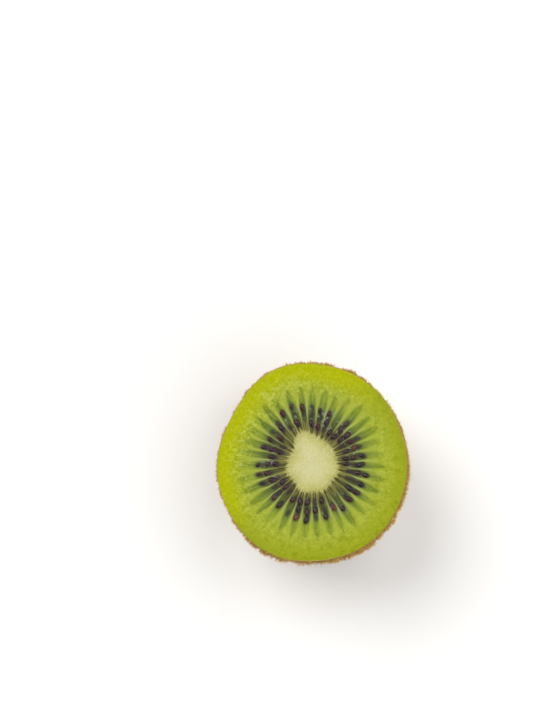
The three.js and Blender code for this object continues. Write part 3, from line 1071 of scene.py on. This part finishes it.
class KiwiFleshLook(bpy.types.PropertyGroup):
    """Colours of the cut face."""

    core: colour_property("Core", "Middle of the core", "C8C490")
    core_middle: colour_property("Core Middle", "Core between its middle and its rim", "C1BD81")
    core_outer: colour_property("Core Outer", "Core near its rim", "B2AE64")
    core_edge: colour_property("Core Edge", "Rim of the core", "9B9549")
    core_grain: colour_property("Core Grain", "Pale grains in the core", "D5D2B0")
    strand: colour_property("Strands", "Pale strands beside the core", "838045")
    wedge_root: colour_property("Wedge Root", "Flesh between the fingers near the seeds", "87903E")
    wedge: colour_property("Wedge", "Flesh between the fingers", "929E35")
    middle: colour_property("Middle", "Flesh round the fingers' tips", "97A130")
    outer: colour_property("Outer", "Outer flesh", "959E24")
    # Partly the flesh's own tone near the skin, partly painted shade where the rim curves away.
    rim: colour_property("Rim", "Flesh near the skin", "8F971C")
    under_skin: colour_property("Under Skin", "Last flesh under the skin", "948138")
    wall: colour_property("Walls", "Thin walls between the seed chambers", "9EA768")
    ray: colour_property("Rays", "Pale rays between the fingers", "A4AE3E")
    # Pale juice cells and painted highlights of the wet flesh.
    pale_speck_and_highlight: colour_property("Specks", "Pale juice cells with painted highlights", "BAC353")
    # The same near the skin: pale specks and painted highlights.
    rim_speck_and_highlight: colour_property("Rim Specks", "Pale specks with painted highlights near the skin", "B7BC2B")
    mottle: colour_property("Mottle", "Deeper patches of the outer flesh", "758407")
    # Painted reflection of juice among the seeds.
    juice: colour_property("Juice", "Painted gleam of juice among the seeds", "87907D")
    chamber_root: colour_property("Chamber Root", "Chambers beside the core", "3D3B23")
    chamber: colour_property("Chamber", "Chambers where the seeds lie", "43452B")
    chamber_mid: colour_property("Chamber Middle", "Chambers beyond the seeds", "5B6C33")
    chamber_tip: colour_property("Chamber Tip", "Tips of the chambers", "5A7020")
    stain: colour_property("Stain", "Flesh round a seed", "373033")
    sunk: colour_property("Sunk Seeds", "Seeds that show through the flesh", "352A32")
    # Painted light: colour of the flesh on the side toward the key light.
    painted_lit_side: colour_property("Painted Light Side", "Flesh on the side painted as lit by the key light", "A6AC00")
    roughness: number_property("Roughness", "Roughness of the wet flesh", 0.44)
    wetness: number_property("Wetness", "Weight of the juice's gloss", 0.8)


class KiwiSeedLook(bpy.types.PropertyGroup):
    """Colours of the seeds."""

    dark: colour_property("Dark", "Seed coat", "1E0A17")
    warm: colour_property("Warm", "Reddish middle of a seed", "4A171F")
    brown: colour_property("Brown", "Unripe seeds", "643A20")
    roughness: number_property("Roughness", "Roughness of the coat", 0.34)


class KiwiSkinLook(bpy.types.PropertyGroup):
    """Colours of the skin and of the end's scar."""

    olive: colour_property("Olive", "Greener skin", "98843A")
    brown: colour_property("Brown", "Browner skin", "946A2C")
    dots: colour_property("Dots", "Roots of the hairs", "A0522C")
    # Partly the skin's pale cut edge, partly painted light over the shade at the rim.
    edge: colour_property("Cut Edge", "Pale cut edge and painted light near the cut", "B49E46")
    scar: colour_property("Scar", "Woody scar of the end", "3C2A1A")
    roughness: number_property("Roughness", "Roughness of the skin", 0.72)


class KiwiFuzzLook(bpy.types.PropertyGroup):
    """Number, size and colours of the hairs."""

    long_count: count_property("Long Hairs", "Long curled hairs", 6000, 8000)
    middle_count: count_property("Middle Hairs", "Each kind of middle hairs", 9500, 9700)
    short_count: count_property("Short Hairs", "Short bristles", 13500, 14000)
    rim_count: count_property("Rim Hairs", "Hairs along the cut", 1900, 9000)
    long_length: length_property("Long Length", "Length of the long hairs", 1.7 * MM, 0.01)
    middle_length: length_property("Middle Length", "Length of the middle hairs", 1.25 * MM, 0.01)
    short_length: length_property("Short Length", "Length of the bristles", 0.8 * MM, 0.01)
    thickness: length_property("Thickness", "Radius of a hair at its root", 0.095 * MM, 0.001)
    gold: colour_property("Gold", "Golden hairs", "F4D270")
    straw: colour_property("Straw", "Pale tips", "F8E29C")
    rust: colour_property("Rust", "Reddish hairs", "D6AA5C")
    root: colour_property("Roots", "Dark roots of the hairs", "9E7C40")


class KiwiStageLook(bpy.types.PropertyGroup):
    """Camera, floor and light."""

    lens: FloatProperty(name="Lens", description="Focal length in millimetres", min=20, max=200, default=85)
    tilt: angle_property("Tilt", "Lean of the view from straight above", 6)
    heading: angle_property("Heading", "Side to which the view leans", -48)
    floor: colour_property("Floor", "Pale floor", "FBFAF9")
    key: number_property("Key", "Strength of the light from the upper left", 1.7, 20)
    fill: number_property("Fill", "Strength of the light from the right", 1.4, 20)
    back: number_property("Back", "Strength of the light from behind", 0.78, 20)
    sky: number_property("Sky", "Strength of the pale surroundings", 1.0, 5)


# Materials


def face_patterns(tree, coordinates, groups):
    """The fields and patterns of the cut face by name, and the height of its cells."""
    centre = {"Vector": coordinates, "Location": (-SHIFT[0], -SHIFT[1], 0)}
    middle = tree.node("ShaderNodeMapping", centre).outputs[0]
    x, y, _ = tree.split(middle)

    def strands(fineness, length, detail=2.5):
        values = {"Vector": middle, "Fineness": fineness, "Length": length, "Detail": detail}
        return tree.placed(groups["strands"], values)["Strands"]

    cells = tree.placed(groups["cells"], {"Vector": coordinates, "Size": 900.0})
    patterns = {name: tree.field(name.lower().replace(" ", "_")) for name in FACE_FIELDS}
    patterns.update({
        "Strands": strands(22.0, 230.0),
        "Fine Strands": strands(26.0, 110.0),
        "Specks": cells["Specks"],
        "Grain": tree.rise(tree.noise(coordinates, 2300.0, 2.0, 0.6), 0.42, 0.68),
        "Cells": tree.noise(coordinates, 1350.0, 2.0, 0.6),
        "Broad": tree.noise(coordinates, 130.0),
        "Mottle": tree.noise(coordinates, 560.0),
        "Web": tree.rise(strands(20.0, 430.0, 1.4), 0.5, 0.64),
        # Side and Glint rise toward the upper left and the left, the key light's side: painted light and
        # painted highlights follow them, and so does more relief.
        "Side": tree.rise(tree.minus(y, x), -0.006, 0.016),
        "Glint": tree.rise(tree.minus(tree.times(y, 0.35), x), 0.0, 0.024),
    })
    return patterns, cells["Height"]


def flesh_material(name, look, groups, drier):
    """Wet flesh: the shared colour, cells and strands in relief, and a patchy film of juice."""
    material, tree, shader, coordinates = new_material(name)
    patterns, cells = face_patterns(tree, coordinates, groups)
    share, web, glint, broad = (patterns[key] for key in ("Share", "Web", "Glint", "Broad"))
    bumpy = tree.minus(tree.rise(share, *BUMPY_START), tree.rise(share, *BUMPY_END))
    swollen = tree.linear(cells, CELL_RELIEF, tree.times(tree.maths("ADD", web, cells), bumpy))
    swollen = tree.times(swollen, tree.linear(glint, *RELIEF_BY_GLINT))
    height = tree.linear(patterns["Strands"], STRAND_RELIEF, swollen)
    gleam = tree.linear(tree.rise(broad, *FILM_RANGE), FILM, tree.times(web, glint, bumpy))
    tree.feed(shader, {
        "Base Color": tree.placed(groups["flesh"], patterns)["Color"],
        "Roughness": tree.around(look.roughness + drier, broad, FLESH_ROUGHNESS_SPREAD),
        "Coat Weight": tree.times(gleam, look.wetness),
        "Coat Roughness": FLESH_COAT_ROUGHNESS,
        "Specular IOR Level": FLESH_SPECULAR,
        "Normal": tree.bump(height, FLESH_BUMP, FLESH_BUMP_STRENGTH),
    })
    return material


def seed_material(name, look, low, high):
    """Glossy seed coat, more of the high colour along its middle."""
    material, tree, shader, coordinates = new_material(name)
    grain = tree.noise(coordinates, 2400.0)
    warm = tree.times(tree.rise(tree.field("middle"), 0.05, 0.65), tree.field("tint"))
    tree.feed(shader, {
        "Base Color": tree.mixed(tree.times(warm, tree.rise(grain, 0.15, 0.6)), low, high),
        "Roughness": tree.around(look.roughness, grain, 0.2),
        "Coat Weight": 0.08,
        "Coat Roughness": 0.2,
        "Specular IOR Level": 0.35,
        "Normal": tree.bump(grain, 0.03 * MM, 0.5),
    })
    return material


def skin_material(look):
    """Thin olive-brown skin with reddish hair roots."""
    material, tree, shader, coordinates = new_material("kiwi_skin")
    fine = tree.noise(coordinates, 1500.0, 3.0, 0.6)
    roots = tree.node("ShaderNodeTexVoronoi", {"Vector": coordinates, "Scale": 1300.0}, feature="F1")
    dots = tree.rise(roots.outputs["Distance"], 0.42, 0.18)
    patches = tree.rise(tree.noise(coordinates, 160.0, 4.0, 0.6), 0.35, 0.65)
    colour = tree.mixed(patches, look.olive, look.brown)
    colour = tree.mixed(tree.times(dots, 0.7), colour, look.dots)
    colour = tree.mixed(tree.rise(fine, 0.35, 0.75), colour, look.brown, "MULTIPLY")
    colour = tree.mixed(0.55, colour, tree.mixed(dots, look.olive, look.dots))
    tree.feed(shader, {
        # Pale near the cut: partly the cut edge, partly painted light over the shade among the hair roots.
        "Base Color": tree.mixed(tree.field("cut"), colour, look.edge),
        "Roughness": tree.linear(fine, 0.2, look.roughness - 0.1),
        "Normal": tree.bump(tree.linear(dots, 0.8, fine), 0.08 * MM, 0.8),
    })
    return material


def scar_material(look):
    """Dry woody scar."""
    material, tree, shader, coordinates = new_material("kiwi_scar")
    fibres = tree.noise(coordinates, 1900.0, 4.0, 0.7)
    tree.feed(shader, {
        "Base Color": tree.mixed(fibres, look.scar, look.dots),
        "Roughness": tree.linear(fibres, 0.2, 0.7),
        "Normal": tree.bump(fibres, 0.1 * MM),
    })
    return material


def hair_material(name, root, body, tip):
    """Hair: dark root, body and pale tip along its length, and a tint of its own for each hair."""
    material, tree, shader, _ = new_material(name)
    tint, along, _ = tree.split(tree.node("ShaderNodeUVMap", uv_map="OFBake").outputs["UV"])
    colour = tree.ramp(along, [(0.0, root), (0.3, body), (0.75, body), (1.0, tip)])
    own = tree.rise(tint, 0.0, 1.0, "LINEAR")
    tree.feed(shader, {
        "Base Color": tree.mixed(own, tree.mixed(0.8, colour, root), colour),
        "Roughness": 0.55,
        "Specular IOR Level": 0.35,
    })
    return material


def floor_material(look):
    """Pale matt floor with the faintest mottling."""
    material, tree, shader, coordinates = new_material("pale_floor")
    darker = tuple(0.97 * part for part in look.floor)
    tree.feed(shader, {
        "Base Color": tree.mixed(tree.noise(coordinates, 9.0, 3.0), look.floor, darker),
        "Roughness": 0.9,
        "Specular IOR Level": 0.2,
    })
    return material


# Hairs


def hair_direction(tree, given, normal):
    """Rotation of each hair, which leans its own way but is swept along with its neighbours."""
    values = {0: (-1, -1, -1), 1: (1, 1, 1), "Seed": given["Seed"]}
    wild = tree.node("FunctionNodeRandomValue", values, data_type="FLOAT_VECTOR").outputs[0]
    place = tree.node("GeometryNodeInputPosition").outputs[0]
    combed = tree.vector("SUBTRACT", tree.noise(place, COMB_SCALE, 1.0, output="Color"), (0.5, 0.5, 0.5))
    swept = tree.vector("ADD", wild, tree.scaled(combed, given["Comb"]))
    straight = tree.vector("NORMALIZE", swept)
    upright = tree.vector("DOT_PRODUCT", straight, normal, output="Value")
    across = tree.vector("NORMALIZE", tree.vector("SUBTRACT", straight, tree.scaled(normal, upright)))
    leaning = tree.vector("ADD", tree.scaled(across, given["Lean"]), normal)
    return tree.node("FunctionNodeAlignRotationToVector", {"Vector": leaning}, axis="Z").outputs[0]


def standing_hairs(tree, given):
    """Straight lines on the skin, as many as its growth field asks for, each with a tint of its own."""

    def random(low, high):
        values = {2: low, 3: high, "Seed": given["Seed"]}
        return tree.node("FunctionNodeRandomValue", values, data_type="FLOAT").outputs[1]

    density = tree.times(tree.named(given["Growth"]), given["Density"])
    values = {"Mesh": given["Geometry"], "Density": density, "Seed": given["Seed"]}
    spots = tree.node("GeometryNodeDistributePointsOnFaces", values, distribute_method="RANDOM").outputs
    line = tree.node("GeometryNodeCurvePrimitiveLine", {"End": (0, 0, 1)}).outputs[0]
    line = tree.node("GeometryNodeResampleCurve", {"Curve": line, "Count": given["Points"]}).outputs[0]
    size = tree.times(given["Length"], random(*HAIR_LENGTHS), tree.named(given["Vigour"]))
    hairs = tree.node("GeometryNodeInstanceOnPoints", {
        "Points": tree.stored(spots["Points"], "tint", random(0.0, 1.0)),
        "Instance": line,
        "Rotation": hair_direction(tree, given, spots["Normal"]),
        "Scale": size,
    }).outputs[0]
    return tree.node("GeometryNodeRealizeInstances", {0: hairs}).outputs[0]


def curled_hairs(tree, given, hairs, along):
    """Bends the hairs more and more towards their tips, and keeps them over the floor and under the cut."""
    place = tree.node("GeometryNodeInputPosition").outputs[0]
    own = tree.times(tree.named("tint"), 60.0)
    values = {"Vector": place, "W": own, "Scale": given["Curl Fineness"], "Detail": 1.0}
    swirl = tree.node("ShaderNodeTexNoise", values, noise_dimensions="4D").outputs["Color"]
    bend = tree.times(tree.maths("POWER", along, CURL_START), given["Curl"])
    offset = tree.scaled(tree.vector("SUBTRACT", swirl, (0.5, 0.5, 0.5)), bend)
    curled = tree.node("GeometryNodeSetPosition", {"Geometry": hairs, "Offset": offset}).outputs[0]
    x, y, z = tree.split(tree.node("GeometryNodeInputPosition").outputs[0])
    height = tree.maths("MINIMUM", tree.maths("MAXIMUM", z, given["Lowest"]), given["Highest"])
    values = {"Geometry": curled, "Position": tree.joined(x, y, height)}
    return tree.node("GeometryNodeSetPosition", values).outputs[0]


def solid_hairs(tree, given, hairs, along):
    """Gives the hairs a tapered body and a UV map with their tint across and their length up."""
    values = {"Resolution": HAIR_SIDES, "Radius": 1.0}
    section = tree.node("GeometryNodeCurvePrimitiveCircle", values, mode="RADIUS")
    side = tree.node("GeometryNodeSplineParameter").outputs["Factor"]
    solid = tree.node("GeometryNodeCurveToMesh", {
        "Curve": hairs,
        "Scale": tree.times(tree.linear(along, HAIR_TAPER, 1.0), given["Thickness"]),
        "Profile Curve": tree.stored(section.outputs[0], "side", side),
        "Fill Caps": True,
    }).outputs[0]
    across = tree.linear(tree.named("tint"), 0.96, tree.times(tree.named("side"), 0.04))
    chart = tree.joined(across, tree.named("along"))
    return tree.stored(solid, "OFBake", chart, "CORNER", "FLOAT2")


def fuzz_tree():
    """Geometry Nodes tree: hairs that stand on the skin, lean over, curl, and never reach under the floor."""
    outputs = [("Geometry", "Geometry", None)]
    tree, given, leave = new_group("GeometryNodeTree", "Kiwi fuzz", FUZZ_INPUTS, outputs)
    along = tree.node("GeometryNodeSplineParameter").outputs["Factor"]
    hairs = tree.stored(standing_hairs(tree, given), "along", along)
    hairs = solid_hairs(tree, given, curled_hairs(tree, given, hairs, along), along)
    real = tree.node("GeometryNodeRealizeInstances", {0: hairs}).outputs[0]
    values = {"Geometry": real, "Material": given["Material"]}
    tree.feed(leave, {0: tree.node("GeometryNodeSetMaterial", values).outputs[0]})
    return tree.data


def grown_fuzz(name, tree, bed, values):
    """One piece of fuzz: the tree run on the bed, and its result kept as a plain mesh."""
    made = bpy.data.objects.new(name, bed)
    bpy.context.scene.collection.objects.link(made)
    modifier = made.modifiers.new("Fuzz", "NODES")
    modifier.node_group = tree
    for item in tree.interface.items_tree:
        if item.in_out == "INPUT" and item.name in values:
            modifier[item.identifier] = values[item.name]
    evaluated = made.evaluated_get(bpy.context.evaluated_depsgraph_get())
    mesh = bpy.data.meshes.new_from_object(evaluated)
    made.modifiers.clear()
    made.data = mesh
    mesh.name = name
    for helper in ("tint", "along", "side", "growth", "rim_growth", "vigour"):
        if helper in mesh.attributes:
            mesh.attributes.remove(mesh.attributes[helper])
    return made


def bed_area(bed, name):
    """Area of the bed weighted by one of its growth fields."""
    weights = read_all(bed.attributes[name].data, "value", np.float32)
    return sum(face.area * float(weights[list(face.vertices)].mean()) for face in bed.polygons)


# Floor, lights and camera


def build_floor(look):
    half = FLOOR_HALF
    mesh = bpy.data.meshes.new("floor")
    corners = [(-half, -half, 0), (half, -half, 0), (half, half, 0), (-half, half, 0)]
    mesh.from_pydata(corners, [], [(0, 1, 2, 3)])
    floor = bpy.data.objects.new("floor", mesh)
    bpy.context.scene.collection.objects.link(floor)
    mesh.materials.append(floor_material(look))


def soft_light(context, name, strength, side, height, width, colour):
    """A wide, far light from one side and height above the floor, like a large softbox."""
    data = bpy.data.lights.new(name, "SUN")
    data.energy = strength
    data.angle = math.radians(width)
    data.color = colour
    light = bpy.data.objects.new(name, data)
    side, height = math.radians(side), math.radians(height)
    out = Vector((math.cos(side) * math.cos(height), math.sin(side) * math.cos(height), math.sin(height)))
    light.location = out * LIGHT_DISTANCE
    light.rotation_mode = "QUATERNION"
    light.rotation_quaternion = (-out).to_track_quat("-Z", "Y")
    context.scene.collection.objects.link(light)


def build_lights(context, look):
    """Soft light, brightest from the upper left, and pale surroundings, dim overhead for deep reflections."""
    for name, *place in LIGHTS:
        soft_light(context, name, getattr(look, name), *place)
    world = bpy.data.worlds.new("pale_surroundings")
    world.use_nodes = True
    tree = Tree(world.node_tree)
    _, _, height = tree.split(tree.node("ShaderNodeTexCoord").outputs["Generated"])
    above = tree.mixed(tree.rise(height, *HORIZON_BAND), HORIZON_GREY, SKY_GREY)
    tree.feed(world.node_tree.nodes["Background"], {
        "Color": tree.mixed(tree.rise(height, *OVERHEAD_BAND), above, OVERHEAD_GREY),
        "Strength": look.sky,
    })
    context.scene.world = world
    context.scene.view_settings.view_transform = "Standard"
    context.scene.view_settings.look = "None"


def build_camera(context, look):
    """Looks down on the face so that its centre and size fall where they stand in the photo's frame."""
    data = bpy.data.cameras.new("camera")
    data.lens = look.lens
    data.sensor_width = SENSOR_WIDTH
    data.clip_start, data.clip_end = 0.01, 20
    focal_pixels = look.lens * max(IMAGE_SIZE) / data.sensor_width
    distance = focal_pixels * FACE_RADIUS / FACE_RADIUS_PIXELS
    lean = math.sin(look.tilt)
    out = Vector((lean * math.cos(look.heading), lean * math.sin(look.heading), math.cos(look.tilt)))
    camera = bpy.data.objects.new("camera", data)
    camera.location = Vector(on_axis(CUT_HEIGHT)) + out * distance
    across = Vector((0, 1, 0)).cross(out).normalized()
    facing = Matrix((across, out.cross(across), out)).transposed().to_quaternion()
    beside, under = FACE_CENTRE_PIXEL[0] - IMAGE_SIZE[0] / 2, IMAGE_SIZE[1] / 2 - FACE_CENTRE_PIXEL[1]
    ray = Vector((beside, under, -focal_pixels))
    camera.rotation_mode = "QUATERNION"
    camera.rotation_quaternion = facing @ ray.rotation_difference(Vector((0, 0, -1)))
    context.scene.collection.objects.link(camera)
    context.scene.camera = camera


# Operators


class KIWI_OT_flesh(bpy.types.Operator):
    """Build the core, the seed ring's flesh and the outer flesh"""

    bl_idname = "kiwi_half.flesh"
    bl_label = "Build Flesh"

    def execute(self, context):
        look = context.scene.kiwi_flesh
        place = np.arange(CHAMBERS * CHAMBER_STEPS) / CHAMBER_STEPS
        groups = {"strands": strand_group(), "cells": cell_group(), "flesh": flesh_colour_group(look)}
        kinds = (
            ("core_flesh", build_core, CORE_DRIER, "core"),
            ("inner_flesh", build_inner, RING_DRIER, "seed_ring"),
            ("outer_flesh", build_outer, 0.0, "outer_flesh"),
        )
        for name, build, drier, node in kinds:
            seat(build(place), flesh_material(name, look, groups, drier), node, node)
        return {"FINISHED"}


class KIWI_OT_seeds(bpy.types.Operator):
    """Build the dark seeds and the few brown ones"""

    bl_idname = "kiwi_half.seeds"
    bl_label = "Build Seeds"

    def execute(self, context):
        look = context.scene.kiwi_seeds
        dark = [place for place in seed_places() if place[3] <= BROWN_FROM]
        brown = [place for place in seed_places() if place[3] > BROWN_FROM]
        dark_coat = seed_material("dark_seed", look, look.dark, look.warm)
        brown_coat = seed_material("brown_seed", look, look.warm, look.brown)
        seat(seed_mesh("seeds", dark), dark_coat, "seed", "seed_ring")
        seat(seed_mesh("seeds_brown", brown), brown_coat, "seed", "seed_ring")
        return {"FINISHED"}


class KIWI_OT_skin(bpy.types.Operator):
    """Build the skin and the scar of the round end"""

    bl_idname = "kiwi_half.skin"
    bl_label = "Build Skin"

    def execute(self, context):
        look = context.scene.kiwi_skin
        seat(build_skin(), skin_material(look), "skin", "outer_flesh")
        seat(build_scar(), scar_material(look), "skin", "outer_flesh")
        return {"FINISHED"}


class KIWI_OT_fuzz(bpy.types.Operator):
    """Grow the hairs of the skin"""

    bl_idname = "kiwi_half.fuzz"
    bl_label = "Grow Fuzz"

    def execute(self, context):
        look = context.scene.kiwi_fuzz
        bed, tree = build_fuzz_bed(), fuzz_tree()
        areas = {field: bed_area(bed, field) for field in ("growth", "rim_growth")}
        gold = hair_material("gold_hair", look.root, look.gold, look.straw)
        rust = hair_material("rust_hair", look.root, look.rust, look.gold)
        sizes = {
            "fuzz_long": (look.long_count, look.long_length, gold),
            "fuzz_gold": (look.middle_count, look.middle_length, gold),
            "fuzz_rust": (look.middle_count, look.middle_length * RUST_LENGTH, rust),
            "fuzz_short": (look.short_count, look.short_length, rust),
            "fuzz_rim": (look.rim_count, look.middle_length * RIM_LENGTH, rust),
        }
        share = 1.0
        for name, field, lean, curl, fineness, points, seed, girth in HAIR_KINDS:
            count, length, material = sizes[name]
            hairs = grown_fuzz(name, tree, bed, {
                "Growth": field, "Density": share * count / areas[field], "Seed": seed, "Length": length,
                "Lean": lean, "Curl": curl * MM, "Curl Fineness": fineness, "Points": points,
                "Thickness": look.thickness * girth, "Highest": CUT_HEIGHT + HIGHEST_HAIR,
                "Material": material,
            })
            seat(hairs, material, "fuzz", "outer_flesh")
        return {"FINISHED"}


class KIWI_OT_stage(bpy.types.Operator):
    """Set the floor, the lights and the camera"""

    bl_idname = "kiwi_half.stage"
    bl_label = "Set Stage"

    def execute(self, context):
        look = context.scene.kiwi_stage
        build_floor(look)
        build_lights(context, look)
        build_camera(context, look)
        return {"FINISHED"}


class KIWI_PT_panel(bpy.types.Panel):
    """Lists the kiwi half's steps and sizes"""

    bl_label = "Kiwi Half"
    bl_idname = "KIWI_PT_panel"
    bl_space_type = "VIEW_3D"
    bl_region_type = "UI"
    bl_category = "Kiwi Half"

    def draw(self, context):
        for name, operator in STEPS:
            box = self.layout.box()
            box.operator(operator)
            group = getattr(context.scene, name)
            for key in group.__annotations__:
                box.prop(group, key)


LOOKS = {
    "kiwi_flesh": KiwiFleshLook,
    "kiwi_seeds": KiwiSeedLook,
    "kiwi_skin": KiwiSkinLook,
    "kiwi_fuzz": KiwiFuzzLook,
    "kiwi_stage": KiwiStageLook,
}
STEPS = [(name, name.replace("kiwi_", "kiwi_half.")) for name in LOOKS]
OPERATORS = (KIWI_OT_flesh, KIWI_OT_seeds, KIWI_OT_skin, KIWI_OT_fuzz, KIWI_OT_stage)


def register():
    for kind in (*LOOKS.values(), *OPERATORS, KIWI_PT_panel):
        bpy.utils.register_class(kind)
    for name, kind in LOOKS.items():
        setattr(bpy.types.Scene, name, PointerProperty(type=kind))


def unregister():
    for name in LOOKS:
        delattr(bpy.types.Scene, name)
    for kind in reversed((*LOOKS.values(), *OPERATORS, KIWI_PT_panel)):
        bpy.utils.unregister_class(kind)


def main():
    """Builds every piece in order."""
    register()
    bpy.ops.kiwi_half.flesh()
    bpy.ops.kiwi_half.seeds()
    bpy.ops.kiwi_half.skin()
    bpy.ops.kiwi_half.fuzz()
    bpy.ops.kiwi_half.stage()


if __name__ == "__main__":
    main()
